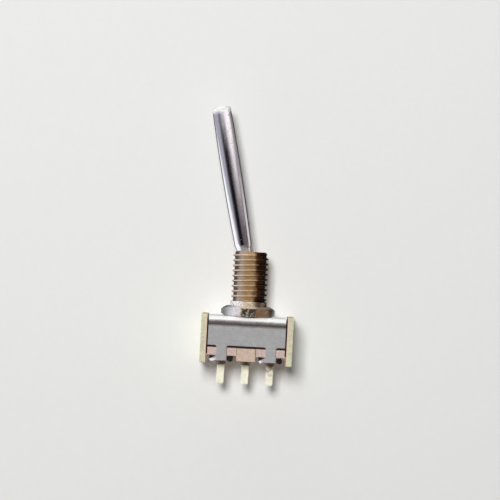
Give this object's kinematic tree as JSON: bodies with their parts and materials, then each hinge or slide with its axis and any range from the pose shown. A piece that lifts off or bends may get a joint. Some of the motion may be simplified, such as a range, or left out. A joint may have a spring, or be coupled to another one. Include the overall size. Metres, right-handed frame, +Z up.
{
  "type": "miniature toggle switch",
  "caption": "Panel-mount toggle switch with a long bat lever on a threaded bushing, a folded metal bracket over a moulded case, and flat solder pins.",
  "frame": {"origin": "on the bushing's axis, in the plane of the mounting nut's upper face, where a panel seats", "axes": "+Z up the bushing, +X to the right, +Y to the back; the front looks along -Y and the lever is thrown to the left"},
  "size_m": [0.0163, 0.0096, 0.0492],
  "materials": {
    "lever_chrome": "bright plated, fine wear lines along the bat",
    "pin_steel": "ground steel",
    "plunger_nylon": "white moulded nylon",
    "spring_steel": "drawn wire",
    "bushing_brass": "turned brass with a fine cut thread",
    "nut_nickel": "nickel plated, slightly dull",
    "bracket_steel": "satin rolled sheet",
    "case_plastic": "moulded, slightly pinkish cream",
    "pin_tin": "dull tin plating over brass",
    "seal_resin": "brown cast resin",
    "contact_silver": "silver, polished by use",
    "rocker_copper": "stamped copper alloy"
  },
  "bodies": {
    "housing": {"bushing": "bushing_brass", "mounting_nut": "nut_nickel", "bracket": "bracket_steel", "case": "case_plastic", "left_terminal": "pin_tin", "center_terminal": "pin_tin", "right_terminal": "pin_tin", "left_seal": "seal_resin", "center_seal": "seal_resin", "right_seal": "seal_resin", "left_fixed_contact": "contact_silver", "right_fixed_contact": "contact_silver"},
    "lever": {"lever": "lever_chrome", "lever_pin": "pin_steel", "plunger_spring": "spring_steel"},
    "plunger": {"plunger": "plunger_nylon"},
    "rocker": {"rocker": "rocker_copper", "left_moving_contact": "contact_silver", "right_moving_contact": "contact_silver"}
  },
  "joints": [
    {"name": "lever_tilt", "type": "hinge", "parent": "housing", "child": "lever", "pos_m": [0, 0, 0.0038], "axis": [0, 1, 0], "range_deg": [0, 24]},
    {"name": "rocker_tilt", "type": "hinge", "parent": "housing", "child": "rocker", "pos_m": [0, 0, -0.0065], "axis": [0, 1, 0], "range_deg": [-10, 0]},
    {"name": "plunger_slide", "type": "slide", "parent": "lever", "child": "plunger", "axis": [0.2079, 0, -0.9781], "range_m": [0, 0.00035], "stiffness_N_per_m": 500, "springref_m": 0.0008, "deforming": ["plunger_spring"]}
  ],
  "couplings": [
    {"joint": "rocker_tilt", "follows": "lever_tilt", "ratio": -0.41667}
  ]
}
